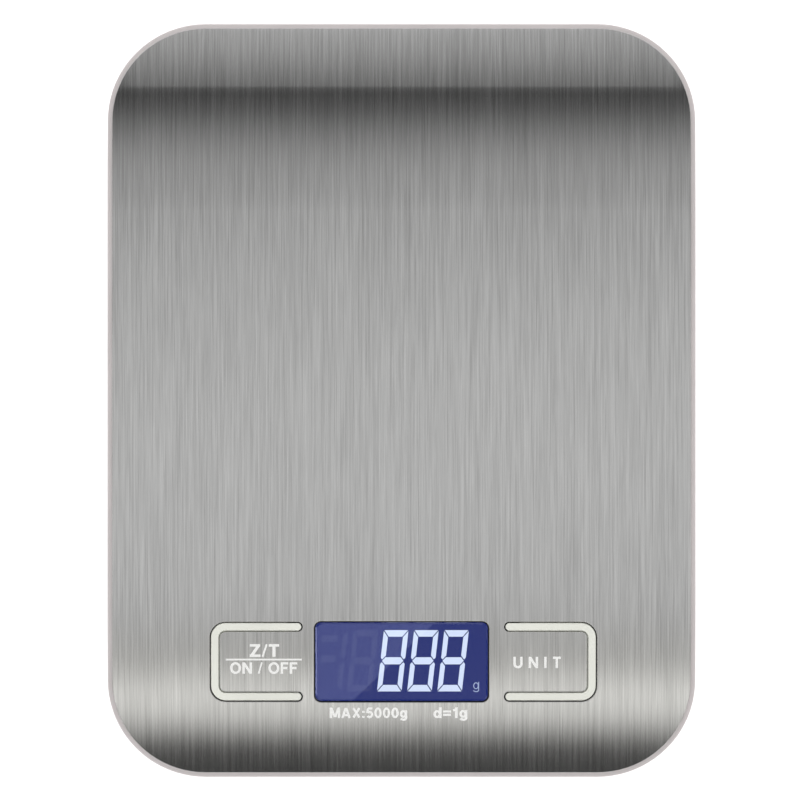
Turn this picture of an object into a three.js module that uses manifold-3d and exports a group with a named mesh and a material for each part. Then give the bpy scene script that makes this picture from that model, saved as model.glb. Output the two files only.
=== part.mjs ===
// A thin digital gram scale: a brushed steel platform on a two-part plastic case, which stands on
// four load-cell feet. The display and two flexing keys sit in the front of the platform.
// Millimetres. +Z is up, +Y is to the rear and +X to the right. The origin is on the table, under
// the middle of the scale.
import * as THREE from "three";
import { mergeVertices } from "three/addons/utils/BufferGeometryUtils.js";
import Module from "manifold-3d";

// ---------------------------------------------------------------- driving dimensions

const WIDTH = 140;
const DEPTH = 180;
const HEIGHT = 17; // table to the top of the platform
const CORNER = 23.2; // plan radius of the case's corners
const GAP = 0.3; // clearance between neighbouring pieces

// The platform is level in the middle and falls away towards the front and the rear. Near the rear
// edge a light fold makes it steeper by two degrees.
const LEVEL_HALF = 45;
const END_RADIUS = 240;
const FOLD_Y = 74.3;
const FOLD_SLOPE = Math.tan(Math.PI / 90);

const RIM = 1.2; // width of case that shows around the steel
const SHEET = 0.5; // thickness of the steel
const SKIRT = 2.2; // height of the steel's turned-down edge

// The upper frame. Depths are measured down from the platform's surface.
const RIM_DEPTH = 1.0;
const DECK_TOP = SHEET + GAP;
const DECK_BOTTOM = DECK_TOP + 1.2;
const GROOVE_BOTTOM = SKIRT + 0.4;
const FRAME_WALL = 1.8;

// The base shell.
const PARTING_Z = 8;
const BASE_Z = 2.2; // underside of the case
const WALL = 1.6;
const FLOOR_Z = BASE_Z + WALL;
const FLANK = 7; // how far the underside is inset from the widest outline

// The display and the keys.
const CONTROLS_Y = -62.2;
const WINDOW = { width: 41, depth: 18.7, corner: 1.4, flange: 1.5 };
const PCB = { width: 76, depth: 30, thickness: 1.2, top: -8.3 };
// A key is a tongue of the platform inside a U-shaped slot. The slot's centre line runs along two
// arms and a back, and x counts outwards from the middle of the pair of keys.
const KEYS_X = 0.45; // which is this far to the right of the scale's
const SLOT = { armEnd: 25.175, back: 44.875, arm: 8.345, half: 1.225, corner: 2.575 };
const KEY_HINGE_X = 25.2;
const SWITCH_X = 34;

// Feet and load cells, given for the right rear corner.
const FOOT_AT = [49.5, 69];
const CELL = { width: 18, depth: 22, bottom: 6.5, thickness: 1.2, corner: 4 };

// The battery bay, for two AAA cells side by side along X.
const BAY = { y: 8, half: [27, 11.5], roof: 14.7, wall: 1.2 };
const DOOR = { half: [29, 13.5], thickness: 1.4 };
const AAA = { radius: 5.25, length: 44.5, nipple: 1, pitch: 11.3 };

const CASE_SCREWS = [
  [56, 36],
  [-56, 36],
  [56, -36],
  [-56, -36],
  [0, 76],
  [0, -42],
];
const PCB_SCREWS = [
  [35.2, 12.3],
  [-35.2, 12.3],
  [35.2, -12.3],
  [-35.2, -12.3],
];

// Height of the platform's surface.
function topZ(y) {
  const fall = Math.max(0, Math.abs(y) - LEVEL_HALF) ** 2 / (2 * END_RADIUS);
  return HEIGHT - fall - FOLD_SLOPE * Math.max(0, y - FOLD_Y);
}

// The display's board and glass lie parallel to the platform where the display is.
const TILT = Math.atan((Math.abs(CONTROLS_Y) - LEVEL_HALF) / END_RADIUS);
const CONTROLS_AT = new THREE.Vector3(0, CONTROLS_Y, topZ(CONTROLS_Y));
const TILTED = new THREE.Matrix4().makeRotationX(TILT).setPosition(CONTROLS_AT);

// ---------------------------------------------------------------- solids

const wasm = await Module();
wasm.setup();

// A closed geometry as a solid that can be joined to others and cut by them.
function solid(geometry) {
  const plain = geometry.clone();
  plain.deleteAttribute("normal");
  plain.deleteAttribute("uv");
  const merged = mergeVertices(plain, 1e-4);
  return new wasm.Manifold(
    new wasm.Mesh({
      numProp: 3,
      vertProperties: merged.attributes.position.array,
      triVerts: new Uint32Array(merged.index.array),
    }),
  );
}

function geometryOf(body) {
  const { vertProperties, triVerts } = body.getMesh();
  const geometry = new THREE.BufferGeometry();
  geometry.setAttribute("position", new THREE.BufferAttribute(new Float32Array(vertProperties), 3));
  geometry.setIndex(new THREE.BufferAttribute(new Uint32Array(triVerts), 1));
  geometry.computeVertexNormals();
  return geometry;
}

const joined = (bodies) => bodies.reduce((whole, body) => whole.add(body));
const cutFrom = (body, cutters) => cutters.reduce((left, cutter) => left.subtract(cutter), body);
const around = (centre, size) => [centre - size / 2, centre + size / 2];

// Each helper below returns a geometry. Spans are [low, high].
function box(x, y, z) {
  const geometry = new THREE.BoxGeometry(x[1] - x[0], y[1] - y[0], z[1] - z[0]);
  return geometry.translate((x[0] + x[1]) / 2, (y[0] + y[1]) / 2, (z[0] + z[1]) / 2);
}

function sidesFor(radius) {
  if (radius > 6) return 20;
  return radius > 2.5 ? 14 : 10;
}

// A round bar along Z.
function rod([x, y], z, radius) {
  const geometry = new THREE.CylinderGeometry(radius, radius, z[1] - z[0], sidesFor(radius));
  return geometry.rotateX(Math.PI / 2).translate(x, y, (z[0] + z[1]) / 2);
}

// A turned shape about Z, from [radius, z] points that start and end on the axis.
function turned(points, sides) {
  const profile = points.map(([radius, z]) => new THREE.Vector2(radius, z));
  return new THREE.LatheGeometry(profile, sides).rotateX(Math.PI / 2);
}

function prism(shape, z, curveSegments = 3) {
  const options = { depth: z[1] - z[0], bevelEnabled: false, curveSegments };
  return new THREE.ExtrudeGeometry(shape, options).translate(0, 0, z[0]);
}

// A wire along a curve, with a round section of a few sides.
function wire(path, radius, steps, sides = 5) {
  const corners = Array.from({ length: sides }, (_, i) => {
    const angle = (2 * Math.PI * i) / sides;
    return new THREE.Vector2(radius * Math.cos(angle), radius * Math.sin(angle));
  });
  const options = { steps, bevelEnabled: false, extrudePath: path };
  return new THREE.ExtrudeGeometry(new THREE.Shape(corners), options);
}

function rectangle(width, depth, x = 0, y = 0) {
  const [w, d] = [width / 2, depth / 2];
  const shape = new THREE.Shape();
  shape.moveTo(x - w, y - d);
  shape.lineTo(x + w, y - d);
  shape.lineTo(x + w, y + d);
  shape.lineTo(x - w, y + d);
  return shape;
}

function roundRect(width, depth, radius, x = 0, y = 0) {
  const [w, d] = [width / 2 - radius, depth / 2 - radius];
  const shape = new THREE.Shape();
  shape.absarc(x + w, y - d, radius, -Math.PI / 2, 0);
  shape.absarc(x + w, y + d, radius, 0, Math.PI / 2);
  shape.absarc(x - w, y + d, radius, Math.PI / 2, Math.PI);
  shape.absarc(x - w, y - d, radius, Math.PI, 1.5 * Math.PI);
  return shape;
}

// The plan of the case, inset by a distance.
const outline = (inset) => roundRect(WIDTH - 2 * inset, DEPTH - 2 * inset, CORNER - inset);
const CASE_CURVE = 4; // arc steps for the case's corners

// A U-shaped channel that opens towards its origin, of a given half width. side is 1 if it lies to
// the right of the origin and -1 on the left.
function channel({ armEnd, back, arm, corner }, half, side, [x0, y0]) {
  const shape = new THREE.Shape();
  const point = (x, v) => new THREE.Vector2(x0 + side * x, y0 + v);
  const points = [];
  const arc = (x, v, radius, from, to, steps) => {
    for (let i = 0; i <= steps; i++) {
      const angle = from + ((to - from) * i) / steps;
      points.push(point(x + radius * Math.cos(angle), v + radius * Math.sin(angle)));
    }
  };
  const turn = Math.PI / 2;
  const [bend, v] = [back - corner, arm - corner];
  arc(bend, -v, corner + half, -turn, 0, 4);
  arc(bend, v, corner + half, 0, turn, 4);
  arc(armEnd, arm, half, turn, 3 * turn, 6);
  arc(bend, v, corner - half, turn, 0, 3);
  arc(bend, -v, corner - half, 0, -turn, 3);
  arc(armEnd, -arm, half, turn, 3 * turn, 6);
  return shape.setFromPoints(points);
}

// Everything that lies at least a given depth under the platform's surface.
function under(depth) {
  const reach = DEPTH / 2 + 5;
  const steps = 4;
  const ends = Array.from({ length: steps + 1 }, (_, i) => {
    return reach + ((LEVEL_HALF - reach) * i) / steps;
  });
  const rear = [...ends, FOLD_Y].sort((a, b) => b - a);
  const front = ends.map((y) => -y).reverse();
  const side = new THREE.Shape();
  side.moveTo(-reach, -3 * HEIGHT);
  side.lineTo(reach, -3 * HEIGHT);
  for (const y of [...rear, ...front]) side.lineTo(y, topZ(y) - depth);
  const options = { depth: WIDTH + 20, bevelEnabled: false };
  const geometry = new THREE.ExtrudeGeometry(side, options).translate(0, 0, -WIDTH / 2 - 10);
  const [alongX, alongY, alongZ] = [
    new THREE.Vector3(1, 0, 0),
    new THREE.Vector3(0, 1, 0),
    new THREE.Vector3(0, 0, 1),
  ];
  return solid(geometry.applyMatrix4(new THREE.Matrix4().makeBasis(alongY, alongZ, alongX)));
}

// A plan shape between two depths under the platform's surface.
function layer(shape, from, to, curveSegments) {
  const column = solid(prism(shape, [-1, HEIGHT + 1], curveSegments));
  return column.intersect(under(from)).subtract(under(to));
}

const tilted = (geometry) => geometry.applyMatrix4(TILTED);

// ---------------------------------------------------------------- finishes

function finish(color, roughness, metalness = 0) {
  return new THREE.MeshStandardMaterial({ color, roughness, metalness, flatShading: true });
}

const STEEL = finish(0xa9a9a8, 0.32, 1);
const SPRING_STEEL = finish(0xb8b8b4, 0.3, 1);
const CASE_PLASTIC = finish(0xc8c2c1, 0.5);
const KEY_PLASTIC = finish(0xe4e5de, 0.45);
const WINDOW_ACRYLIC = finish(0x4c5590, 0.08);
const LCD_GLASS = finish(0x39417c, 0.15);
const DIFFUSER = finish(0xf2f4f6, 0.35);
const BLACK_PLASTIC = finish(0x1b1b1d, 0.5);
const WHITE_PLASTIC = finish(0xeeeeea, 0.5);
const BOARD_GREEN = finish(0x1d5b38, 0.4);
const RUBBER = finish(0x9a9a9a, 0.85);
const FOAM = finish(0x161616, 0.95);
const CELL_JACKET = finish(0x2f6d3c, 0.35);
const PLATED = finish(0xc9c6bd, 0.3, 1);
const LEAD_RED = finish(0xb3201c, 0.45);
const LEAD_BLACK = finish(0x1a1a1a, 0.45);
const LEAD_WHITE = finish(0xe2e0da, 0.45);

const scale = new THREE.Group();

function place(name, geometry, material, parent = scale) {
  const mesh = new THREE.Mesh(geometry, material);
  mesh.name = name;
  parent.add(mesh);
  return mesh;
}

const placeSolid = (name, body, material, parent) =>
  place(name, geometryOf(body), material, parent);

// The four corners, each with its signs of x and y.
const CORNERS = [
  ["front_left", -1, -1],
  ["front_right", 1, -1],
  ["rear_left", -1, 1],
  ["rear_right", 1, 1],
];
const KEYS = [
  ["power", -1],
  ["unit", 1],
];

// ---------------------------------------------------------------- platform and keys

function keySlot(side) {
  return channel(SLOT, SLOT.half, side, [KEYS_X, CONTROLS_Y]);
}

// The area inside a key's slot, from a given x out to the slot's back.
function keyArea(side, from, corner = 0) {
  const size = [SLOT.back - from, 2 * SLOT.arm];
  const middle = [KEYS_X + (side * (from + SLOT.back)) / 2, CONTROLS_Y];
  return corner ? roundRect(...size, corner, ...middle) : rectangle(...size, ...middle);
}

function platformCover() {
  const sheet = layer(outline(RIM), 0, SKIRT, CASE_CURVE);
  const inside = layer(outline(RIM + SHEET), SHEET, SKIRT + 1, CASE_CURVE);
  const cutouts = [
    prism(
      roundRect(
        WINDOW.width + 2 * GAP,
        WINDOW.depth + 2 * GAP,
        WINDOW.corner + GAP,
        0,
        CONTROLS_Y,
      ),
      [10, 20],
    ),
  ];
  for (const [, side] of KEYS) {
    cutouts.push(prism(keySlot(side), [10, 20]));
    cutouts.push(prism(keyArea(side, KEY_HINGE_X - GAP), [10, 20]));
  }
  return cutFrom(sheet.subtract(inside), cutouts.map(solid));
}

// The steel tongue that a finger presses. It flexes along the line where it leaves the platform.
function keyTongue(side) {
  const slot = solid(prism(keySlot(side), [10, 20]));
  return layer(keyArea(side, KEY_HINGE_X), 0, SHEET, 2).subtract(slot);
}

// The plastic lever bonded under a tongue: a plate, a rib that fills the slot, and a post that
// reaches down to the switch.
function keyLever(side) {
  const rib = channel(SLOT, SLOT.half - GAP, side, [KEYS_X, CONTROLS_Y]);
  const plate = keyArea(side, KEY_HINGE_X - 2 * GAP, SLOT.corner);
  const post = tilted(rod([KEYS_X + side * SWITCH_X, 0], [-3.6, -DECK_TOP - 0.5], 1.6));
  return joined([
    layer(rib, 0.02, DECK_BOTTOM),
    layer(plate, DECK_TOP, DECK_BOTTOM),
    solid(post),
  ]);
}

placeSolid("platform_cover", platformCover(), STEEL);
for (const [name, side] of KEYS) {
  placeSolid(`${name}_key_tongue`, keyTongue(side), STEEL);
  placeSolid(`${name}_key_lever`, keyLever(side), KEY_PLASTIC);
}

// ---------------------------------------------------------------- case

function upperFrame() {
  const body = layer(outline(0), RIM_DEPTH, HEIGHT, CASE_CURVE);
  const above = solid(box([-WIDTH, WIDTH], [-DEPTH, DEPTH], [PARTING_Z + GAP, 2 * HEIGHT]));
  const groove = layer(outline(RIM - GAP), 0, GROOVE_BOTTOM, CASE_CURVE).subtract(
    layer(outline(RIM + SHEET + GAP), 0, HEIGHT, CASE_CURVE),
  );
  const overDeck = layer(outline(RIM + SHEET + GAP - 0.01), 0, DECK_TOP, CASE_CURVE);
  const underDeck = layer(outline(3.4), DECK_BOTTOM, HEIGHT + 2, CASE_CURVE);
  const insideWall = layer(outline(FRAME_WALL), 4, HEIGHT + 2, CASE_CURVE);
  const lip = solid(prism(outline(2.9), [PARTING_Z - 1.2, PARTING_Z + 1.4], CASE_CURVE)).subtract(
    solid(prism(outline(3.9), [0, HEIGHT], CASE_CURVE)),
  );
  const shell = cutFrom(body.intersect(above), [groove, overDeck, underDeck, insideWall]);

  const added = [lip.add(lipBridge()), ...frameRibs()];
  const deckSpan = (at) => [PARTING_Z - GAP, topZ(at[1]) - DECK_TOP - 0.8];
  for (const at of CASE_SCREWS) added.push(solid(rod(at, deckSpan(at), 3.2)));
  for (const at of PCB_SCREWS)
    added.push(solid(tilted(rod(at, [PCB.top + GAP, -DECK_TOP - 0.5], 2.4))));

  const flange = 2 * (WINDOW.flange + GAP);
  const window = roundRect(
    WINDOW.width + flange,
    WINDOW.depth + flange,
    WINDOW.corner,
    0,
    CONTROLS_Y,
  );
  const roof = roundRect(
    2 * (BAY.half[0] + BAY.wall + GAP),
    2 * (BAY.half[1] + BAY.wall + GAP),
    0.5,
    0,
    BAY.y,
  );
  const cuts = [prism(window, [9, 20]), prism(roof, [9, 20])];
  for (const [, side] of KEYS) {
    cuts.push(prism(channel(SLOT, SLOT.half, side, [KEYS_X, CONTROLS_Y]), [9, 20]));
    cuts.push(prism(keyArea(side, KEY_HINGE_X - 3 * GAP), [9, 20]));
  }
  for (const at of CASE_SCREWS) cuts.push(rod(at, [0, 12.8], 1.5));
  for (const at of PCB_SCREWS) cuts.push(tilted(rod(at, [-12, -4], 1.25)));
  return cutFrom(joined([shell, ...added]), cuts.map(solid));
}

// Joins the lip to the frame's wall, just above the parting line.
function lipBridge() {
  const span = [PARTING_Z + GAP, PARTING_Z + 1.4];
  return solid(prism(outline(1), span, CASE_CURVE)).subtract(
    solid(prism(outline(3.9), [0, HEIGHT], CASE_CURVE)),
  );
}

// Stiffening ribs under the deck, clear of the battery bay and the display.
function frameRibs() {
  const plan = [
    [[-64, 64], around(48, 1.2)],
    [[-64, 64], around(-24, 1.2)],
    [around(-44, 1.2), [-30, 60]],
    [around(44, 1.2), [-30, 60]],
  ];
  return plan.map(([x, y]) => {
    const shape = rectangle(x[1] - x[0], y[1] - y[0], (x[0] + x[1]) / 2, (y[0] + y[1]) / 2);
    return layer(shape, DECK_BOTTOM - 0.2, DECK_BOTTOM + 2, 1);
  });
}

// The rounded flank of the base: the widest outline at the parting line, inset at the underside.
function flank(inset, bottom) {
  const rise = PARTING_Z - BASE_Z;
  const options = {
    depth: 6,
    bevelEnabled: true,
    bevelThickness: rise,
    bevelSize: FLANK,
    bevelSegments: 3,
    curveSegments: CASE_CURVE,
  };
  const shape = outline(FLANK + inset);
  return solid(new THREE.ExtrudeGeometry(shape, options).translate(0, 0, bottom + rise));
}

function baseShell() {
  const above = solid(box([-WIDTH, WIDTH], [-DEPTH, DEPTH], [PARTING_Z, 3 * HEIGHT]));
  const tray = cutFrom(flank(0, BASE_Z), [flank(WALL, FLOOR_Z), above]);
  const [added, cuts] = [[], []];
  for (const [, sx, sy] of CORNERS) addFootWell(added, cuts, sx, sy);
  for (const at of CASE_SCREWS) {
    added.push(rod(at, [BASE_Z + 0.5, PARTING_Z - 2 * GAP], 4.2));
    cuts.push(rod(at, [0, 5], 2.8), rod(at, [0, 9], 1.5));
  }
  addBatteryBay(added, cuts);
  const insides = joined(added.map(solid)).intersect(flank(0, BASE_Z));
  return cutFrom(tray.add(insides), cuts.map(solid));
}

// A round well for the foot under each corner, with a square seat for the load cell above it.
function addFootWell(added, cuts, sx, sy) {
  const at = [sx * FOOT_AT[0], sy * FOOT_AT[1]];
  const seat = { x: CELL.width + 2 * GAP, y: CELL.depth + 2 * GAP };
  added.push(rod(at, [BASE_Z, 5.6], 12.4));
  added.push(
    prism(
      roundRect(seat.x + 2.4, seat.y + 2.4, CELL.corner + 1, ...at),
      [BASE_Z + 0.5, CELL.bottom + 1.8],
    ),
  );
  cuts.push(prism(roundRect(seat.x, seat.y, CELL.corner, ...at), [CELL.bottom - GAP, 12]));
  cuts.push(rod(at, [0, 4.4], 11.2));
  cuts.push(rod(at, [0, 9], 3.9));
}

function addBatteryBay(added, cuts) {
  const { y, half, roof, wall } = BAY;
  const bay = (grow) => [around(0, 2 * (half[0] + grow)), around(y, 2 * (half[1] + grow))];
  const recess = [around(0, 2 * (DOOR.half[0] + GAP)), around(y, 2 * (DOOR.half[1] + GAP))];
  const ledgeZ = BASE_Z + DOOR.thickness + GAP;
  added.push(box(...bay(wall), [BASE_Z + 0.5, roof + 1]));
  added.push(
    prism(
      roundRect(2 * DOOR.half[0] + 5, 2 * DOOR.half[1] + 3, 1.5, 0, y),
      [BASE_Z, ledgeZ + 1.2],
    ),
  );
  cuts.push(box(...bay(0), [0, roof]));
  cuts.push(box(...recess, [0, ledgeZ]));
  // Pockets for the door's tabs, and the slot and thumb notch for its latch.
  for (const tab of DOOR_TABS) {
    cuts.push(box([-DOOR.half[0] - 1.9, 0], around(tab, 6.6), [BASE_Z + 0.6, ledgeZ + 2.4]));
  }
  cuts.push(box([half[0] - 0.1, DOOR.half[0] + 0.6], around(y, 9), [BASE_Z + 1, ledgeZ + 2.6]));
  cuts.push(prism(roundRect(9, 12, 3, DOOR.half[0] + 2.5, y), [0, BASE_Z + 1]));
  // Slots for the contacts' solder tags.
  for (const cell of [-1, 1]) {
    const slotY = around(y + (cell * AAA.pitch) / 2, 3);
    cuts.push(box([-half[0] - wall - 1, -half[0] + 1], slotY, [11.4, 12.8]));
  }
}

const DOOR_TABS = [BAY.y - 7.5, BAY.y + 7.5];

// The door swings on two tabs at its left end and is held by a springy latch at its right end.
function batteryDoor() {
  const { half, thickness } = DOOR;
  const top = BASE_Z + thickness;
  const plate = prism(roundRect(2 * half[0], 2 * half[1], 0.8, 0, BAY.y), [BASE_Z, top]);
  const added = [
    box([half[0] - 1.7, half[0] - 0.7], around(BAY.y, 8), [BASE_Z + 0.2, top + 2]),
    box([half[0] - 1.7, half[0] - 0.1], around(BAY.y, 8), [top + 1, top + 1.8]),
  ];
  for (const tab of DOOR_TABS) {
    added.push(box([-half[0] - 1.4, -half[0] + 3], around(tab, 6), [top - 0.5, top + 0.6]));
  }
  for (const rib of [-1, 1]) {
    added.push(box([-20, 20], around(BAY.y + rib * 10.6, 0.8), [top - 0.1, top + 0.8]));
  }
  // Slits on both sides of the latch let it flex.
  const slits = [-1, 1].map((s) =>
    box([half[0] - 9, half[0] + 1], around(BAY.y + s * 4.6, 0.8), [0, 9]),
  );
  return cutFrom(joined([plate, ...added].map(solid)), slits.map(solid));
}

placeSolid("upper_frame", upperFrame(), CASE_PLASTIC);
placeSolid("base_shell", baseShell(), CASE_PLASTIC);
placeSolid("battery_door", batteryDoor(), CASE_PLASTIC);

// A pan-head screw that points up, with a cross recess in the head's underside.
function screw(head, headRadius, shank, shankRadius) {
  const top = head[1];
  const body = turned(
    [
      [0, head[0]],
      [headRadius * 0.72, head[0]],
      [headRadius, head[0] + 0.45 * (top - head[0])],
      [headRadius, top],
      [shankRadius, top],
      [shankRadius, shank - 1.2],
      [0.25, shank],
      [0, shank],
    ],
    10,
  );
  const [long, short] = [around(0, headRadius * 1.1), around(0, headRadius * 0.28)];
  const depth = [head[0] - 1, head[0] + 0.4 * (top - head[0])];
  return cutFrom(solid(body), [solid(box(long, short, depth)), solid(box(short, long, depth))]);
}

CASE_SCREWS.forEach(([x, y], i) => {
  const mesh = placeSolid(`case_screw_${i + 1}`, screw([3, 4.7], 2.4, 12.2, 1.15), PLATED);
  mesh.position.set(x, y, 0);
});

// ---------------------------------------------------------------- feet and load cells

function foot() {
  return turned(
    [
      [0, 1.5],
      [8.8, 1.5],
      [8.8, 0.9],
      [10, 0.9],
      [10, 3.3],
      [3, 3.3],
      [3, 6.1],
      [0, 6.1],
    ],
    20,
  );
}

function footPad() {
  return turned(
    [
      [0, 0],
      [8.5, 0],
      [8.5, 1.2],
      [0, 1.2],
    ],
    20,
  );
}

// A stamped plate whose middle tongue bends when the foot pushes it up.
function loadCell() {
  const plate = roundRect(CELL.width, CELL.depth, CELL.corner);
  plate.holes.push(channel({ armEnd: -5, back: 5.5, arm: 5, corner: 1.6 }, 0.7, 1, [0, 0]));
  return prism(plate, [CELL.bottom, CELL.bottom + CELL.thickness], 2);
}

// The clip that pins a cell's outer frame down in its seat.
function cellClip() {
  const ring = roundRect(CELL.width, CELL.depth, CELL.corner);
  ring.holes.push(roundRect(CELL.width - 4.4, CELL.depth - 5, 2));
  const bottom = CELL.bottom + CELL.thickness + GAP;
  const bar = box(around(0, CELL.width - 4), around(8.6, 2.4), [bottom + 1.2, bottom + 2.6]);
  return joined([prism(ring, [bottom, bottom + 1.6], 2), bar].map(solid));
}

for (const [name, sx, sy] of CORNERS) {
  const corner = new THREE.Group();
  corner.position.set(sx * FOOT_AT[0], sy * FOOT_AT[1], 0);
  corner.rotation.z = sx > 0 ? 0 : Math.PI;
  scale.add(corner);
  place(`foot_${name}`, foot(), WHITE_PLASTIC, corner);
  place(`foot_pad_${name}`, footPad(), RUBBER, corner);
  place(`load_cell_${name}`, loadCell(), SPRING_STEEL, corner);
  placeSolid(`load_cell_clip_${name}`, cellClip(), WHITE_PLASTIC, corner);
}

// ---------------------------------------------------------------- display and board

// Everything in this group is measured from the platform's surface at the display, and is parallel
// to it.
const controls = new THREE.Group();
controls.position.copy(CONTROLS_AT);
controls.rotation.x = TILT;
scale.add(controls);

function displayWindow() {
  const lens = roundRect(WINDOW.width, WINDOW.depth, WINDOW.corner, 0, CONTROLS_Y);
  const flange = roundRect(
    WINDOW.width + 2 * WINDOW.flange,
    WINDOW.depth + 2 * WINDOW.flange,
    WINDOW.corner,
    0,
    CONTROLS_Y,
  );
  return layer(lens, 0.02, 1.2).add(layer(flange, DECK_TOP + 0.05, 1.9));
}

function frameOf(outer, inner, z) {
  const shape = roundRect(...outer, 1);
  shape.holes.push(roundRect(...inner, 0.6));
  return prism(shape, z, 2);
}

function mainBoard() {
  const { width, depth, thickness, top } = PCB;
  const board = roundRect(width, depth, 1);
  for (const [x, y] of PCB_SCREWS) {
    const hole = new THREE.Path();
    hole.absarc(x, y, 1.3, 0, 2 * Math.PI);
    board.holes.push(hole);
  }
  return prism(board, [top - thickness, top], 4);
}

// A blob of epoxy over the controller, on the board's underside.
function controllerChip() {
  const top = PCB.top - PCB.thickness - GAP;
  return turned(
    [
      [0, top - 1.3],
      [2.5, top - 1.2],
      [4.4, top - 0.8],
      [5.5, top],
      [0, top],
    ],
    20,
  );
}

function switchBody() {
  const bottom = PCB.top + GAP;
  const body = box(around(0, 6), around(0, 6), [bottom, bottom + 3.5]);
  return solid(body).subtract(solid(rod([0, 0], [bottom + 2.4, bottom + 9], 2)));
}

const switchPlunger = () => rod([0, 0], [PCB.top + 3.1, PCB.top + 4.6], 1.7);

placeSolid("display_window", displayWindow(), WINDOW_ACRYLIC);
place("lcd_gasket", frameOf([44.2, 21.8], [41.6, 19.2], [-3, -2.5]), FOAM, controls);
placeSolid(
  "lcd_glass",
  joined(
    [
      box(around(0, 45.6), around(1.2, 22.4), [-4.4, -3.3]),
      box(around(0, 45.6), around(0, 26), [-5.5, -4.38]),
    ].map(solid),
  ),
  LCD_GLASS,
  controls,
);
place("lcd_frame", frameOf([49.4, 29.4], [46.6, 26.6], [-8, -3.3]), BLACK_PLASTIC, controls);
place("backlight_guide", box([-21.6, 21.4], [-11.1, 12], [-8, -5.8]), DIFFUSER, controls);
place("backlight_led", box([21.8, 23], around(0, 9), [-8, -6.2]), WHITE_PLASTIC, controls);
place("zebra_connector", box(around(0, 40), [-12.9, -11.4], [-8, -5.8]), RUBBER, controls);
place("main_pcb", mainBoard(), BOARD_GREEN, controls);
place("controller_chip", controllerChip(), BLACK_PLASTIC, controls).position.set(-6, 2, 0);

for (const [name, side] of KEYS) {
  const body = placeSolid(`${name}_switch_body`, switchBody(), BLACK_PLASTIC, controls);
  const plunger = place(`${name}_switch_plunger`, switchPlunger(), WHITE_PLASTIC, controls);
  for (const mesh of [body, plunger]) mesh.position.set(KEYS_X + side * SWITCH_X, 0, 0);
}
PCB_SCREWS.forEach(([x, y], i) => {
  const head = PCB.top - PCB.thickness - GAP;
  const made = screw([head - 1.3, head], 2, head + 5, 0.9);
  placeSolid(`pcb_screw_${i + 1}`, made, PLATED, controls).position.set(x, y, 0);
});

// ---------------------------------------------------------------- batteries and contacts

// An AAA cell along X, with its positive end at the left.
function batteryCell() {
  const { radius, length, nipple } = AAA;
  const half = length / 2;
  return turned(
    [
      [0, -half],
      [radius - 0.5, -half],
      [radius, 0.4 - half],
      [radius, half - nipple - 0.4],
      [radius - 0.5, half - nipple],
      [1.9, half - nipple],
      [1.9, half],
      [0, half],
    ],
    16,
  ).rotateY(-Math.PI / 2);
}

const CELL_Z = BASE_Z + DOOR.thickness + GAP + AAA.radius;
const CELL_SHIFT = -3.35; // each cell is pushed towards its positive contact

[1, -1].forEach((turn, i) => {
  const mesh = place(`battery_${i + 1}`, batteryCell(), CELL_JACKET);
  mesh.position.set(turn * CELL_SHIFT, BAY.y - (turn * AAA.pitch) / 2, CELL_Z);
  mesh.rotation.z = turn > 0 ? 0 : Math.PI;
});

class Coil extends THREE.Curve {
  constructor(radius, length, turns) {
    super();
    Object.assign(this, { radius, length, turns });
  }

  getPoint(t) {
    const angle = 2 * Math.PI * this.turns * t;
    const radius = this.radius * (1 - 0.35 * t);
    return new THREE.Vector3(
      this.length * t,
      radius * Math.cos(angle),
      radius * Math.sin(angle),
    );
  }
}

// A contact plate against the left wall of the bay. It faces +X.
function contactPlate(y, width) {
  const x = [GAP - BAY.half[0], GAP + 0.4 - BAY.half[0]];
  return box(x, around(y, width), around(CELL_Z, 9));
}

function contactTag(y) {
  const x = [-BAY.half[0] - BAY.wall - 1.4, GAP + 0.4 - BAY.half[0]];
  return box(x, around(y, 2), [11.9, 12.3]);
}

function contactNub(y) {
  const x = GAP + 0.3 - BAY.half[0];
  return new THREE.CylinderGeometry(1.2, 1.8, 0.4, 12)
    .rotateZ(-Math.PI / 2)
    .translate(x + 0.2, y, CELL_Z);
}

function contactSpring(y) {
  return wire(new Coil(3.4, 6.6, 4), 0.35, 28, 4).translate(GAP + 0.45 - BAY.half[0], y, CELL_Z);
}

const FRONT_CELL_Y = BAY.y - AAA.pitch / 2;
const REAR_CELL_Y = BAY.y + AAA.pitch / 2;

placeSolid(
  "battery_contact_positive",
  joined([contactPlate(FRONT_CELL_Y, 8), contactTag(FRONT_CELL_Y), contactNub(FRONT_CELL_Y)].map(solid)),
  PLATED,
);
placeSolid(
  "battery_contact_negative",
  joined([contactPlate(REAR_CELL_Y, 8), contactTag(REAR_CELL_Y), contactSpring(REAR_CELL_Y)].map(solid)),
  PLATED,
);
// The bridge stands at the right wall, so it is made like the others and turned about the bay.
placeSolid(
  "battery_contact_bridge",
  joined([contactPlate(0, 20), contactNub(-AAA.pitch / 2), contactSpring(AAA.pitch / 2)].map(solid)),
  PLATED,
).position.y = BAY.y;
scale.getObjectByName("battery_contact_bridge").rotation.z = Math.PI;

// ---------------------------------------------------------------- leads

function lead(name, points, radius, material) {
  const curve = new THREE.CatmullRomCurve3(points.map((p) => new THREE.Vector3(...p)));
  place(name, wire(curve, radius, 3 * (points.length - 1)), material);
}

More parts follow.
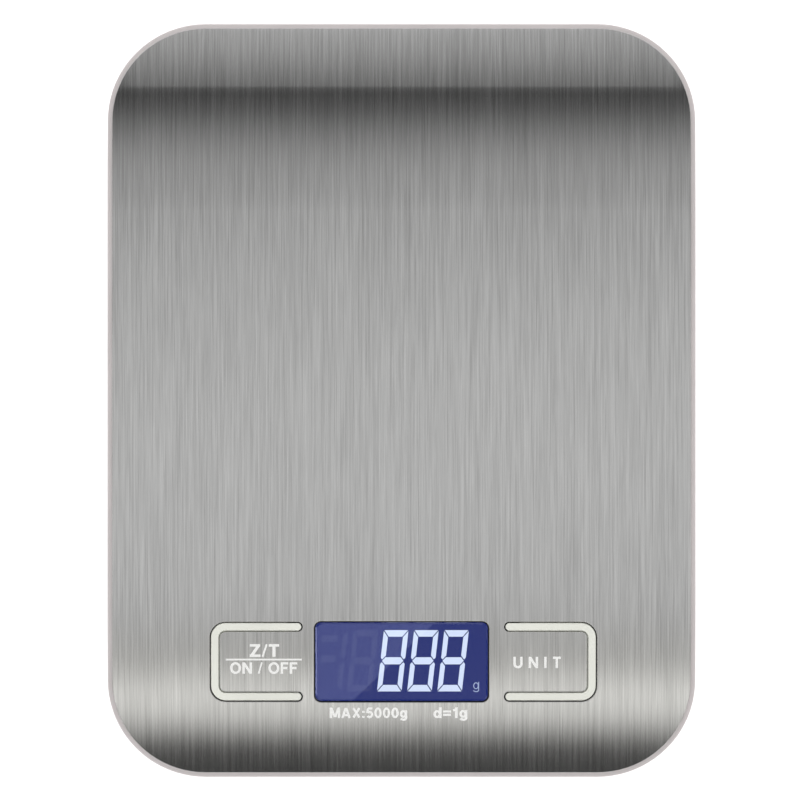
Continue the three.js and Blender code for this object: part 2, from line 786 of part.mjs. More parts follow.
const BOARD_EDGE_Y = CONTROLS_Y + PCB.depth / 2 + 1.3;
for (const [name, sx, sy] of CORNERS) {
  const overClip = [
    [sx * 45, sy * 66, 9],
    [sx * 42, sy * 64.5, 11.8],
  ];
  const along = sy > 0
    ? [[38, 60, 10.8], [36.5, 51, 7.4], [35, 30, 5.4], [35, -6, 5.4], [30, -32, 5.6]]
    : [[41, -56, 9.8], [41, -49, 8], [36, -42, 6.6]];
  const route = along.map(([x, y, z]) => [sx * x, y, z]);
  const x = sx * (sy > 0 ? 16 : 24);
  const ending = [[x, BOARD_EDGE_Y + 4, 6.8], [x, BOARD_EDGE_Y, 8.6]];
  lead(`load_cell_lead_${name}`, [...overClip, ...route, ...ending], 0.8, LEAD_WHITE);
}

const TAG_X = -BAY.half[0] - BAY.wall - 2.4;
lead(
  "battery_lead_red",
  [
    [TAG_X, FRONT_CELL_Y, 12.1],
    [TAG_X - 1.6, FRONT_CELL_Y - 6, 10.5],
    [-24, -22, 8],
    [-9, -38, 7.4],
    [-8, BOARD_EDGE_Y, 8.6],
  ],
  0.6,
  LEAD_RED,
);
lead(
  "battery_lead_black",
  [
    [TAG_X, REAR_CELL_Y, 12.1],
    [TAG_X - 3.6, REAR_CELL_Y - 8, 10.5],
    [TAG_X - 3.4, -4, 8.6],
    [-25, -28, 9.2],
    [-12.5, -40, 9.4],
    [-11, BOARD_EDGE_Y, 8.6],
  ],
  0.6,
  LEAD_BLACK,
);

export default scale;
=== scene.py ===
"""A thin digital gram scale: a brushed steel platform with a backlit display and two flexing keys,
on a plastic case with four load-cell feet. Shapes are worked out in millimetres and built in metres.
"""

import math

import bmesh
import bpy
from mathutils import Matrix, Vector
from mathutils.geometry import delaunay_2d_cdt


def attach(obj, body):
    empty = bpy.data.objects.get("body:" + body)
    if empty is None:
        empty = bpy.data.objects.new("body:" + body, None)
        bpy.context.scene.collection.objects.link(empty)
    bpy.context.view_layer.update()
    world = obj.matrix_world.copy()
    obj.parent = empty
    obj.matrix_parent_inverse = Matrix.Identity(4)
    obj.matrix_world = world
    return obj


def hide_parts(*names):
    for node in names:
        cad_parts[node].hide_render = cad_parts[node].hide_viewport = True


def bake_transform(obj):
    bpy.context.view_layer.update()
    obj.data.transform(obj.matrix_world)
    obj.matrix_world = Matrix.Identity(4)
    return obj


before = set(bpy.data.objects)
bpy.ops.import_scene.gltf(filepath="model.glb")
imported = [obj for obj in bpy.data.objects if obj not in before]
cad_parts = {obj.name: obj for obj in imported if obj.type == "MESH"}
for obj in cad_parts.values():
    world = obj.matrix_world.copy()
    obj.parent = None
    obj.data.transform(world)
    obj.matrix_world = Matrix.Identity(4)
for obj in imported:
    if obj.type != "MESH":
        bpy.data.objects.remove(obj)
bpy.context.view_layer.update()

MM = 0.001

# ------------------------------ driving dimensions, in mm

WIDTH, DEPTH, HEIGHT = 140, 180, 17
CORNER = 23.2  # plan radius of the case's corners
LEVEL_HALF = 45  # the platform is level this far to the front and the rear
END_RADIUS = 240  # and then falls away on this radius
FOLD_Y = 74.3  # where a light fold makes it steeper
FOLD_SLOPE = math.tan(math.radians(2))

RIM = 1.2  # width of case that shows around the steel
SHEET = 0.5  # thickness of the steel
SKIRT = 2.2  # height of its turned-down edge
ROLL = 0.05  # radius of that edge
CUT_EDGE = 0.1  # radius of the edges of the openings
RIM_DEPTH = 1.0  # how far the case's rim sits under the platform
DECK = (0.8, 2.0)  # depths of the upper frame's deck

PARTING_Z = 8
BASE_Z = 2.2
WALL = 1.6
FLANK = 7  # how far the underside is inset from the widest outline

CONTROLS_Y = -62.2
WINDOW = (41.0, 18.7, 1.4)  # width, depth and corner radius
KEYS_X = 0.45  # the middle of the pair of keys
SLOT = {"end": 25.175, "back": 44.875, "arm": 8.345, "corner": 2.575, "half": 1.225}
BEND = (SLOT["back"] - SLOT["corner"], SLOT["arm"] - SLOT["corner"])  # middle of its bends
RIB_HALF = 0.9  # half the width of the ribs that fill the slots
RIB_ROUND = 0.22  # radius of their edges
RIB_DEPTH = 0.05  # how far they sit under the steel
PLATE_DEPTH = 1.2  # of the plate that joins a key's ribs
PLATE_START = 24.6  # where it begins, from the middle of the pair of keys
SWITCH_X = 34

FOOT_AT = (49.5, 69)
CELL = {"width": 18, "depth": 22, "corner": 4}  # a load cell, seen from above
CASE_SCREWS = [(56, 36), (-56, 36), (56, -36), (-56, -36), (0, 76), (0, -42)]
WELL = {"radius": 11.2, "roof": 4.4, "stem": 3.9, "seat": 6.2, "rim": 8.3}  # round a foot
BOSS = {"head": 2.8, "ledge": 5, "bore": 1.5, "top": 7.4, "radius": 4.2}  # round a case screw
BAY = {"y": 8, "half": (27, 11.5), "roof": 14.7, "wall": 1.2}
DOOR_HALF = (29, 13.5)
CLEARANCE = 0.3  # on each side of the door and the load cells

SIDES = {"power": -1, "unit": 1}
CORNERS = {
    "front_left": (-1, -1),
    "front_right": (1, -1),
    "rear_left": (-1, 1),
    "rear_right": (1, 1),
}


def top_z(y):
    """Height of the platform's surface."""
    fall = max(0, abs(y) - LEVEL_HALF) ** 2 / (2 * END_RADIUS)
    return HEIGHT - fall - FOLD_SLOPE * max(0, y - FOLD_Y)


def below(depth):
    """The height function of a level that lies a constant depth under the platform."""
    return lambda x, y: top_z(y) - depth


def level(z):
    return lambda x, y: z


TILT = math.atan((abs(CONTROLS_Y) - LEVEL_HALF) / END_RADIUS)
TILTED = Matrix.Translation((0, CONTROLS_Y, top_z(CONTROLS_Y))) @ Matrix.Rotation(TILT, 4, "X")

# ------------------------------ outlines

# An outline is a closed list of (x, y). Each function takes `out`, which pushes the outline
# outwards without changing its number of points, so that two of them can be joined by a strip.


def arc(centre, radius, start, end, steps):
    """Points on an arc, with angles in quarter turns."""
    points = []
    for i in range(steps + 1):
        angle = (start + (end - start) * i / steps) * math.pi / 2
        x, y = centre[0] + radius * math.cos(angle), centre[1] + radius * math.sin(angle)
        points.append((x, y))
    return points


def between(start, end, steps):
    """The points strictly between two others."""
    return [
        (start[0] + (end[0] - start[0]) * i / steps, start[1] + (end[1] - start[1]) * i / steps)
        for i in range(1, steps)
    ]


def closed(corners, steps):
    """Joins lists of points into one loop, with each gap between two lists divided into steps."""
    loop = []
    for points, following, count in zip(corners, corners[1:] + corners[:1], steps):
        loop += points + between(points[-1], following[0], count)
    return loop


def round_rect(width, depth, radius, centre=(0, 0), out=0.0, turn=8, across=1, along=1):
    """across and along are the steps on the sides that run along X and along Y."""
    w, d, r = width / 2 - radius, depth / 2 - radius, radius + out
    x, y = centre
    corners = [
        arc((x + w, y - d), r, 3, 4, turn),
        arc((x + w, y + d), r, 0, 1, turn),
        arc((x - w, y + d), r, 1, 2, turn),
        arc((x - w, y - d), r, 2, 3, turn),
    ]
    return closed(corners, [along, across, along, across])


def case_outline(inset):
    return round_rect(WIDTH, DEPTH, CORNER, out=-inset, turn=20, across=12, along=44)


def circle(radius, centre=(0, 0), steps=48):
    return arc(centre, radius, 0.5, 4.5 - 4 / steps, steps - 1)


def beside(points, side):
    """An outline given for the right of the pair of keys, placed on either side of its middle."""
    placed = [(KEYS_X + side * x, y) for x, y in points]
    return placed if side > 0 else placed[::-1]


def slot_outline(side, half, out=0.0):
    """A U-shaped channel that opens towards the middle of the scale."""
    bend, v = BEND
    corner, h, y = SLOT["corner"], half + out, CONTROLS_Y
    parts = [
        arc((bend, y - v), corner + h, 3, 4, 8),
        arc((bend, y + v), corner + h, 0, 1, 8),
        arc((SLOT["end"], y + SLOT["arm"]), h, 1, 3, 14),
        arc((bend, y + v), corner - h, 1, 0, 6),
        arc((bend, y - v), corner - h, 0, -1, 6),
        arc((SLOT["end"], y - SLOT["arm"]), h, 1, 3, 14),
    ]
    return beside(closed(parts, [4, 4, 4, 4, 4, 4]), side)


def key_hole_outline(side, out=0.0, hinge=SLOT["end"]):
    """The outer edge of a key's slot, closed along the line where the tongue leaves the sheet."""
    bend, v = BEND
    corner, h, y = SLOT["corner"], SLOT["half"] + out, CONTROLS_Y
    lower, upper = (SLOT["end"], y - SLOT["arm"]), (SLOT["end"], y + SLOT["arm"])
    parts = [
        arc((bend, y - v), corner + h, 3, 4, 8),
        arc((bend, y + v), corner + h, 0, 1, 8),
        arc(upper, h, 1, 3, 14) + [(hinge, upper[1] - h)] * (hinge != SLOT["end"]),
        [(hinge, lower[1] + h)] * (hinge != SLOT["end"]) + arc(lower, h, 1, 3, 14),
    ]
    return beside(closed(parts, [4, 4, 10, 4]), side)


def tongue_outline(side, out=0.0):
    """The inner edge of a key's slot, closed along the same line."""
    bend, v = BEND
    inner, y = SLOT["corner"] - SLOT["half"] + out, CONTROLS_Y
    edge = SLOT["arm"] - SLOT["half"] + out
    parts = [
        [(SLOT["end"], y - edge)],
        arc((bend, y - v), inner, 3, 4, 6),
        arc((bend, y + v), inner, 0, 1, 6),
        [(SLOT["end"], y + edge)],
    ]
    return beside(closed(parts, [6, 4, 6, 10]), side)


# ------------------------------ building a skin


def add_object(name, bm, material):
    """An object made from a bmesh, which is used up."""
    mesh = bpy.data.meshes.new(name)
    bm.to_mesh(mesh)
    bm.free()
    mesh.materials.append(material)
    made = bpy.data.objects.new(name, mesh)
    bpy.context.collection.objects.link(made)
    return made


def crossing_test(loops):
    """A test of whether a point is inside an odd number of loops."""
    edges = [pair for loop in loops for pair in zip(loop, loop[1:] + loop[:1])]

    def inside(x, y):
        odd = False
        for (x0, y0), (x1, y1) in edges:
            if (y0 > y) != (y1 > y) and x < x0 + (y - y0) * (x1 - x0) / (y1 - y0):
                odd = not odd
        return odd

    return inside


class Skin:
    """A closed surface put together from strips between outlines and fills inside them."""

    def __init__(self):
        self.bm = bmesh.new()

    def ring(self, outline, height):
        return [self.bm.verts.new((x, y, height(x, y))) for x, y in outline]

    def strip(self, *levels):
        """Joins outlines, each given with its height function, one after the other."""
        rings = [self.ring(*one) for one in levels]
        for low, high in zip(rings, rings[1:]):
            for i in range(len(low)):
                j = (i + 1) % len(low)
                self.bm.faces.new((low[i], low[j], high[j], high[i]))

    def fill(self, outline, height, holes=(), rows=(), columns=(), fold=None):
        """Fills an outline around its holes. Points on a grid of rows and columns help it bend,
        and fold is the two ends of a line along which it creases."""
        loops = [outline, *holes]
        points, edges = [], []
        for loop in loops:
            first = len(points)
            points += [Vector(p) for p in loop]
            edges += [(first + i, first + (i + 1) % len(loop)) for i in range(len(loop))]
        if fold:
            edges.append((len(points), len(points) + 1))
            points += [Vector(end) for end in fold]
        inside = crossing_test(loops)
        border = list(points)
        for y in rows:
            near = [p for p in border if abs(p.y - y) < 1]
            for x in columns:
                if inside(x, y) and all(abs(p.x - x) > 1 for p in near):
                    points.append(Vector((x, y)))
        flat, _, faces, *_ = delaunay_2d_cdt(points, edges, [], 0, 1e-7)
        verts = [self.bm.verts.new((p.x, p.y, height(p.x, p.y))) for p in flat]
        for face in faces:
            middle = sum((flat[i] for i in face), Vector((0, 0))) / len(face)
            if inside(middle.x, middle.y):
                self.bm.faces.new([verts[i] for i in face])

    def turned(self, profile, centre=(0, 0), steps=48):
        """A turned surface from (radius, z) points, closed where the radius is 0."""
        rings = []
        for radius, z in profile:
            if radius == 0:
                rings.append([self.bm.verts.new((*centre, z))] * steps)
            else:
                rings.append(self.ring(circle(radius, centre, steps), level(z)))
        for low, high in zip(rings, rings[1:]):
            for i in range(steps):
                j = (i + 1) % steps
                corners = list(dict.fromkeys((low[i], low[j], high[j], high[i])))
                if len(corners) > 2:
                    self.bm.faces.new(corners)

    def place(self, matrix):
        self.bm.transform(matrix)
        return self

    def finish(self, name, material, body=None, stands_for=(), slot=None, sharp=35):
        """Makes the object, in metres."""
        bm = self.bm
        bmesh.ops.remove_doubles(bm, verts=bm.verts, dist=1e-4)
        bmesh.ops.recalc_face_normals(bm, faces=bm.faces)
        for face in bm.faces:
            face.smooth = True
        for edge in bm.edges:  # the platform's fold stays sharp
            folded = all(abs(vert.co.y - FOLD_Y) < 1e-3 for vert in edge.verts)
            limit = 1 if folded else sharp
            edge.smooth = edge.calc_face_angle(0) < math.radians(limit)
        grain = bm.loops.layers.uv.new("grain")
        for face in bm.faces:
            for loop in face.loops:
                x, y, z = loop.vert.co
                loop[grain].uv = ((x + 0.37 * z) / 100, (y + 0.21 * z) / 100)
        bmesh.ops.scale(bm, vec=(MM, MM, MM), verts=bm.verts)
        piece = add_object(name, bm, material)
        if body:
            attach(piece, body)
        if stands_for:
            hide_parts(*stands_for)
        return piece


# ------------------------------ materials


class Nodes:
    """A node tree under construction."""

    def __init__(self, owner):
        owner.use_nodes = True
        self.tree = owner.node_tree

    def connect(self, socket, value):
        """The value is a constant or another node's output."""
        if isinstance(value, bpy.types.NodeSocket):
            self.tree.links.new(value, socket)
        else:
            socket.default_value = value

    def set(self, node, settings):
        for key, value in settings.items():
            self.connect(node.inputs[key], value)

    def node(self, kind, inputs=None, **options):
        made = self.tree.nodes.new("ShaderNode" + kind)
        for key, value in options.items():
            setattr(made, key, value)
        self.set(made, inputs or {})
        return made

    def math(self, operation, a, b=0.0, c=0.0):
        made = self.node("Math", operation=operation)
        for socket, value in zip(made.inputs, (a, b, c)):
            self.connect(socket, value)
        return made.outputs[0]

    def remap(self, value, low, high, to_low, to_high):
        settings = {"Value": value, "From Min": low, "From Max": high}
        settings.update({"To Min": to_low, "To Max": to_high})
        return self.node("MapRange", settings).outputs["Result"]

    def mix(self, factor, a, b):
        made = self.node("Mix", data_type="RGBA")
        for index, value in ((0, factor), (6, a), (7, b)):
            self.connect(made.inputs[index], value)
        return made.outputs[2]


class Paint(Nodes):
    """A procedural material under construction."""

    def __init__(self, name, **settings):
        self.material = bpy.data.materials.new(name)
        super().__init__(self.material)
        self.shader = self.tree.nodes["Principled BSDF"]
        self.set(self.shader, settings)
        self.place = self.node("TexCoord").outputs["Object"]

    def finish(self, settings):
        """Sets the shader and returns the material."""
        self.set(self.shader, settings)
        return self.material

    def scaled(self, factors, shift=(0, 0, 0)):
        """Object coordinates times three factors, so that a texture can stretch."""
        return self.node(
            "Mapping", {"Vector": self.place, "Scale": factors, "Location": shift}
        ).outputs["Vector"]

    def noise(self, factors, detail=2.0, roughness=0.5, shift=(0, 0, 0)):
        settings = {"Scale": 1.0, "Detail": detail, "Roughness": roughness}
        settings["Vector"] = self.scaled(factors, shift)
        return self.node("TexNoise", settings).outputs["Fac"]

    def bump(self, height, distance, strength):
        settings = {"Height": height, "Distance": distance, "Strength": strength}
        return self.node("Bump", settings).outputs["Normal"]


def srgb(r, g, b):
    """A colour given as 0 to 255 screen values, as linear RGBA."""
    linear = [
        v / 3294.6 if v <= 10 else ((v / 255 + 0.055) / 1.055) ** 2.4 for v in (r, g, b)
    ]
    return (*linear, 1.0)


def brushed_steel():
    """Long fine streaks along Y. The surface is rougher across them than along them."""
    paint = Paint("brushed_steel", Metallic=1.0)
    wide = paint.noise((2500, 34, 40), detail=2, roughness=0.6)
    fine = paint.noise((5200, 90, 90), detail=2, roughness=0.6, shift=(7, 3, 1))
    scratch = paint.noise((1900, 90, 60), detail=3, roughness=0.7, shift=(2, 9, 5))
    streak = paint.math("ADD", paint.math("MULTIPLY", wide, 0.6), paint.math("MULTIPLY", fine, 0.4))
    tone = paint.remap(streak, 0.34, 0.66, 0.0, 1.0)
    steel = paint.mix(tone, (0.49, 0.49, 0.485, 1), (0.72, 0.72, 0.715, 1))
    glint = paint.remap(scratch, 0.62, 0.8, 0.0, 0.35)
    tangent = paint.node("Tangent", direction_type="UV_MAP", uv_map="grain").outputs["Tangent"]
    return paint.finish(
        {
            "Base Color": paint.mix(glint, steel, (0.82, 0.82, 0.81, 1)),
            "Roughness": paint.remap(streak, 0.3, 0.7, 0.235, 0.27),
            "Anisotropic": 1.0,
            "Tangent": tangent,
            "Normal": paint.bump(streak, 0.00001, 0.15),
        }
    )


def moulded(name, colour, roughness=0.45, texture=0.35, speck=0.03):
    """Moulded plastic: a faint cloudiness in its colour and a fine spark-eroded texture."""
    paint = Paint(name)
    cloud = paint.noise((45, 45, 45), detail=3)
    grain = paint.noise((2600, 2600, 2600), detail=2)
    dark = [c * (1 - speck) for c in colour[:3]] + [1]
    light = [min(1, c * (1 + speck)) for c in colour[:3]] + [1]
    return paint.finish(
        {
            "Base Color": paint.mix(paint.remap(cloud, 0.35, 0.65, 0, 1), dark, light),
            "Roughness": paint.remap(grain, 0.3, 0.7, roughness - 0.05, roughness + 0.07),
            "Normal": paint.bump(grain, 0.00002, texture),
        }
    )


def metal(name, colour, roughness):
    """Plated or rolled metal with fine handling marks."""
    paint = Paint(name, Metallic=1.0)
    marks = paint.noise((700, 120, 300), detail=4, roughness=0.7)
    cloud = paint.noise((300, 300, 300), detail=2)
    dark = [c * 0.86 for c in colour[:3]] + [1]
    return paint.finish(
        {
            "Base Color": paint.mix(paint.remap(cloud, 0.3, 0.7, 0, 1), dark, colour),
            "Roughness": paint.remap(marks, 0.3, 0.7, roughness - 0.06, roughness + 0.06),
            "Normal": paint.bump(marks, 0.00001, 0.3),
        }
    )


def rubber(name, colour):
    paint = Paint(name)
    grain = paint.noise((1800, 1800, 1800), detail=3)
    dust = paint.noise((220, 220, 220), detail=4, roughness=0.7)
    pale = [min(1, c * 1.25 + 0.02) for c in colour[:3]] + [1]
    return paint.finish(
        {
            "Base Color": paint.mix(paint.remap(dust, 0.45, 0.75, 0, 1), colour, pale),
            "Roughness": paint.remap(dust, 0.3, 0.7, 0.78, 0.92),
            "Normal": paint.bump(grain, 0.00004, 0.5),
        }
    )


def glowing(name, colour, strength, base=(0.002, 0.002, 0.004, 1)):
    """A lit part of the display, with the faint unevenness of its backlight."""
    paint = Paint(name, **{"Roughness": 0.5, "Specular IOR Level": 0.0})
    uneven = paint.noise((60, 60, 60), detail=1)
    dim = [c * 0.97 for c in colour[:3]] + [1]
    glow = paint.mix(paint.remap(uneven, 0.3, 0.7, 0, 1), dim, colour)
    return paint.finish(
        {"Base Color": base, "Emission Color": glow, "Emission Strength": strength}
    )


def clear_acrylic():
    paint = Paint("window_acrylic", IOR=1.49)
    smear = paint.noise((30, 90, 30), detail=3, shift=(4, 1, 2))
    return paint.finish(
        {
            "Base Color": (0.62, 0.64, 0.85, 1),
            "Transmission Weight": 1.0,
            "Roughness": paint.remap(smear, 0.4, 0.8, 0.0, 0.003),
        }
    )


def circuit_board():
    """Green solder mask over copper tracks, which show as slightly raised paler lines."""
    paint = Paint("circuit_board", Roughness=0.3)
    track = paint.node(
        "TexBrick",
        {
            "Vector": paint.scaled((420, 420, 420)),
            "Scale": 1.0,
            "Mortar Size": 0.09,
            "Brick Width": 2.3,
            "Row Height": 0.55,
            "Color1": (0, 0, 0, 1),
            "Color2": (0, 0, 0, 1),
            "Mortar": (1, 1, 1, 1),
        },
    ).outputs["Color"]
    patch = paint.remap(paint.noise((90, 90, 90), detail=0), 0.45, 0.5, 0, 1)
    shown = paint.math("MULTIPLY", track, patch)
    weave = paint.noise((1500, 1500, 200), detail=2)
    mask = paint.mix(paint.remap(weave, 0.3, 0.7, 0, 1), srgb(22, 84, 50), srgb(30, 98, 60))
    return paint.finish(
        {
            "Base Color": paint.mix(shown, mask, srgb(58, 132, 84)),
            "Normal": paint.bump(shown, 0.00005, 0.6),
        }
    )


SLEEVE_BAND = 12.5  # where its dark band begins, in mm from the middle of the scale
SLEEVE_STRIPE = (10.8, 0.6)  # the middle and half the width of the stripe beside it


def cell_sleeve():
    """A battery's sleeve: a dark band at the positive end, with a plain stripe beside it. The
    front cell points to the left and the rear one to the right."""
    paint = Paint("cell_sleeve", Roughness=0.28)
    split = paint.node("SeparateXYZ", {"Vector": paint.place})
    row = paint.math("SIGN", paint.math("SUBTRACT", split.outputs["Y"], BAY["y"] * MM))
    along = paint.math("MULTIPLY", row, split.outputs["X"])
    band = paint.math("GREATER_THAN", along, SLEEVE_BAND * MM)
    stripe = paint.math("COMPARE", along, *[value * MM for value in SLEEVE_STRIPE])
    fleck = paint.noise((900, 900, 900), detail=2)
    green = paint.mix(paint.remap(fleck, 0.3, 0.7, 0, 1), srgb(34, 104, 58), srgb(44, 120, 68))
    banded = paint.mix(band, green, srgb(32, 34, 36))
    return paint.finish(
        {
            "Base Color": paint.mix(stripe, banded, srgb(196, 190, 168)),
            "Coat Weight": 0.4,
            "Normal": paint.bump(fleck, 0.00001, 0.2),
        }
    )


STEEL = brushed_steel()
CASE = moulded("case_plastic", srgb(212, 205, 205), 0.42)
KEY_CREAM = moulded("key_plastic", srgb(240, 241, 232), 0.38, texture=0.15)
BLACK = moulded("black_plastic", srgb(34, 34, 37), 0.5)
WHITE = moulded("white_plastic", srgb(228, 228, 222), 0.45)
DIFFUSER = moulded("diffuser", srgb(238, 242, 246), 0.25, texture=0.1)
INK = moulded("printed_ink", srgb(252, 252, 250), 0.5, texture=0.1, speck=0.01)
FOAM = rubber("gasket_foam", srgb(26, 26, 28))
PAD_RUBBER = rubber("foot_rubber", srgb(150, 150, 148))
ZEBRA = rubber("contact_rubber", srgb(206, 204, 196))
SPRING_STEEL = metal("spring_steel", (0.60, 0.60, 0.58, 1), 0.3)
PLATED = metal("plated_metal", (0.78, 0.76, 0.70, 1), 0.22)
BOARD = circuit_board()
SLEEVE = cell_sleeve()
LEADS = {
    "red": moulded("lead_red", srgb(176, 34, 28), 0.4, texture=0.1),
    "black": moulded("lead_black", srgb(28, 28, 30), 0.4, texture=0.1),
    "white": moulded("lead_white", srgb(222, 220, 214), 0.4, texture=0.1),
}
ACRYLIC = clear_acrylic()
LCD_FIELD = glowing("lcd_field", srgb(0, 36, 118), 1.0)
LCD_GHOST = glowing("lcd_ghost", srgb(50, 63, 125), 1.0)
LCD_FAINT = glowing("lcd_faint", srgb(184, 198, 210), 1.3)
LCD_LIT = glowing("lcd_lit", (0.89, 1.0, 0.94, 1), 1.18, base=(0.3, 0.3, 0.32, 1))

# ------------------------------ steel platform and keys

CURVED_ROWS = [s * (LEVEL_HALF + 3 * i) for s in (-1, 1) for i in range(15)] + [-30, -15, 0, 15, 30]
COLUMNS = [8 * i for i in range(-8, 9)]


def quarter(radius, steps=4):
    """(how far in from the edge, how far down) along a rounded edge, from the flat outwards."""
    points = []
    for i in range(steps + 1):
        angle = math.pi / 2 * i / steps
        points.append((radius * (1 - math.sin(angle)), radius * (1 - math.cos(angle))))
    return points


def sheet_edges(skin, outline, sign):
    """The rounded top edge, wall and bottom edge of an opening or a tongue in the sheet. sign is
    -1 if the steel lies inside the outline and 1 if it lies outside."""
    flat_from = CUT_EDGE + 0.08
    rounding = [(flat_from, 0.0)] + quarter(CUT_EDGE)
    levels = [(outline(sign * inset), below(drop)) for inset, drop in rounding]
    levels.append((outline(0), below(SHEET)))
    skin.strip(*levels)
    return outline(sign * flat_from), outline(0)


def window_outline(out=0.0, flange=0.0):
    width, depth, radius = WINDOW
    return round_rect(
        width + 2 * flange, depth + 2 * flange, radius, (0, CONTROLS_Y), out, 8, 8, 6
    )


WINDOW_GAP = 0.35  # between the steel and the display's window


def build_cover():
    skin = Skin()
    tops, bottoms = [], []
    edges = [lambda out: window_outline(out + WINDOW_GAP)]
    edges += [lambda out, side=side: key_hole_outline(side, out) for side in SIDES.values()]
    for edge in edges:
        top, bottom = sheet_edges(skin, edge, 1)
        tops.append(top)
        bottoms.append(bottom)
    border = RIM + ROLL + 0.5  # where the edge's strips meet the flat fills
    profile = [(border, 0.0), (RIM + ROLL + 0.02, 0.0)]
    profile += [(RIM + inset, drop) for inset, drop in quarter(ROLL, 6)]
    profile += [(RIM, SKIRT), (RIM + SHEET, SKIRT), (RIM + SHEET, ROLL + 0.3), (border, SHEET)]
    skin.strip(*[(case_outline(inset), below(drop)) for inset, drop in profile])
    inner = case_outline(border)
    reach = max(x for x, y in inner if y > FOLD_Y) - 0.3
    fold = ((-reach, FOLD_Y), (reach, FOLD_Y))
    skin.fill(inner, below(0), tops, CURVED_ROWS, COLUMNS, fold)
    skin.fill(inner, below(SHEET), bottoms, CURVED_ROWS, COLUMNS)
    skin.finish("steel_cover", STEEL, "case", ["platform_cover"], "steel_sheet")


def bend_with_key(piece):
    """Bakes the piece's placement into its mesh."""
    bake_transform(piece)


def build_tongue(name, side):
    skin = Skin()
    top, bottom = sheet_edges(skin, lambda out: tongue_outline(side, out), -1)
    rows = [CONTROLS_Y + v for v in (-6, -3, 0, 3, 6)]
    columns = [KEYS_X + side * (SLOT["end"] + d) for d in (1, 2, 3, 5, 9, 13, 17)]
    skin.fill(top, below(0), (), rows, columns)
    skin.fill(bottom, below(SHEET), (), rows, columns)
    piece = skin.finish(
        f"{name}_tongue", STEEL, None, [f"{name}_key_tongue"], "steel_sheet"
    )
    bend_with_key(piece)


PALE_PIECES = []  # those that the fill light reaches


def build_lever(name, side):
    """The plastic rib that fills the slot, on a plate with a post above the switch."""
    skin = Skin()
    flat_from = RIB_ROUND + 0.06
    rib_foot = below(DECK[1] - 0.3)
    outline = slot_outline(side, RIB_HALF)
    crown = slot_outline(side, RIB_HALF, -flat_from)
    levels = [(crown, below(RIB_DEPTH))]
    for inset, drop in quarter(RIB_ROUND):
        levels.append((slot_outline(side, RIB_HALF, -inset), below(RIB_DEPTH + drop)))
    skin.strip(*levels, (outline, rib_foot))
    skin.fill(crown, below(RIB_DEPTH))
    skin.fill(outline, rib_foot)
    back = SLOT["back"] + 1
    size = (back - PLATE_START, 2 * SLOT["arm"] + 2, SLOT["corner"] + 1)
    middle = (KEYS_X + side * (PLATE_START + back) / 2, CONTROLS_Y)
    plate = round_rect(*size, middle, across=4, along=4)
    skin.fill(plate, below(PLATE_DEPTH))
    skin.strip((plate, below(PLATE_DEPTH)), (plate, below(DECK[1])))
    skin.fill(plate, below(DECK[1]))
    piece = skin.finish(
        f"{name}_lever", KEY_CREAM, f"{name}_key", [f"{name}_key_lever"], "key_plastic"
    )
    PALE_PIECES.append(piece)
    post = Skin()
    profile = [(0, -3.6), (1.3, -3.6), (1.6, -3.3), (1.6, -1.8), (2.1, -1.3), (0, -1.3)]
    post.turned(profile, steps=32)
    post.place(TILTED @ Matrix.Translation((KEYS_X + side * SWITCH_X, 0, 0)))
    post.finish(f"{name}_lever_post", KEY_CREAM, f"{name}_key", (), "key_plastic")


build_cover()
for key_name, key_side in SIDES.items():
    build_tongue(key_name, key_side)
    build_lever(key_name, key_side)

# ------------------------------ case


def build_upper_frame():
    skin = Skin()
    deck_edge, groove = RIM + SHEET + 0.3, SKIRT + 0.4
    outside = [(deck_edge, DECK[0]), (deck_edge, groove), (RIM - 0.06, groove)]
    outside += [(RIM - 0.06, RIM_DEPTH + 0.05), (RIM - 0.11, RIM_DEPTH)]
    outside += [(inset, RIM_DEPTH + drop) for inset, drop in quarter(0.4)]
    levels = [(case_outline(inset), below(depth)) for inset, depth in outside]
    # down to the parting line, with a lip that reaches inside the base, and back up to the deck
    inside = [(0, 8.6), (0.25, 8.3), (2.9, 8.3), (2.9, 6.8), (3.9, 6.8), (3.9, 8.8), (3.4, 8.8)]
    levels += [(case_outline(inset), level(z)) for inset, z in inside]
    levels.append((case_outline(3.4), below(DECK[1])))
    skin.strip(*levels)
    holes = [window_outline(0, 1.8)]
    holes.append(round_rect(57, 26, 0.5, (0, BAY["y"])))
    holes += [key_hole_outline(side, 0, 24.3) for side in SIDES.values()]
    for hole in holes:
        skin.strip((hole, below(DECK[0])), (hole, below(DECK[1])))
    skin.fill(case_outline(deck_edge), below(DECK[0]), holes, CURVED_ROWS, COLUMNS)
    skin.fill(case_outline(3.4), below(DECK[1]), holes, CURVED_ROWS, COLUMNS)
    for x, y in CASE_SCREWS:
        deck = top_z(y) - 1.7
        post = [(1.5, 7.7), (3.2, 7.7), (3.2, deck), (0, deck), (0, 12.8), (1.5, 12.8), (1.5, 7.7)]
        skin.turned(post, (x, y), 32)
    piece = skin.finish("upper_case", CASE, "case", ["upper_frame"], "case_plastic")
    PALE_PIECES.append(piece)


def flank(inset, bottom, steps=9):
    """Levels of the base's rounded side, from the parting line in to the underside."""
    rise = PARTING_Z - BASE_Z
    levels = []
    for i in range(steps + 1):
        angle = math.pi / 2 * i / steps
        outline = case_outline(inset + FLANK * (1 - math.cos(angle)))
        levels.append((outline, level(bottom + rise * (1 - math.sin(angle)))))
    return levels


def cell_seat(centre, wall):
    """The square seat of a load cell, with as many points as a circle of 48."""
    around = 2 * (CLEARANCE + wall)
    size = (CELL["width"] + around, CELL["depth"] + around, CELL["corner"] + wall)
    return round_rect(*size, centre, turn=11)


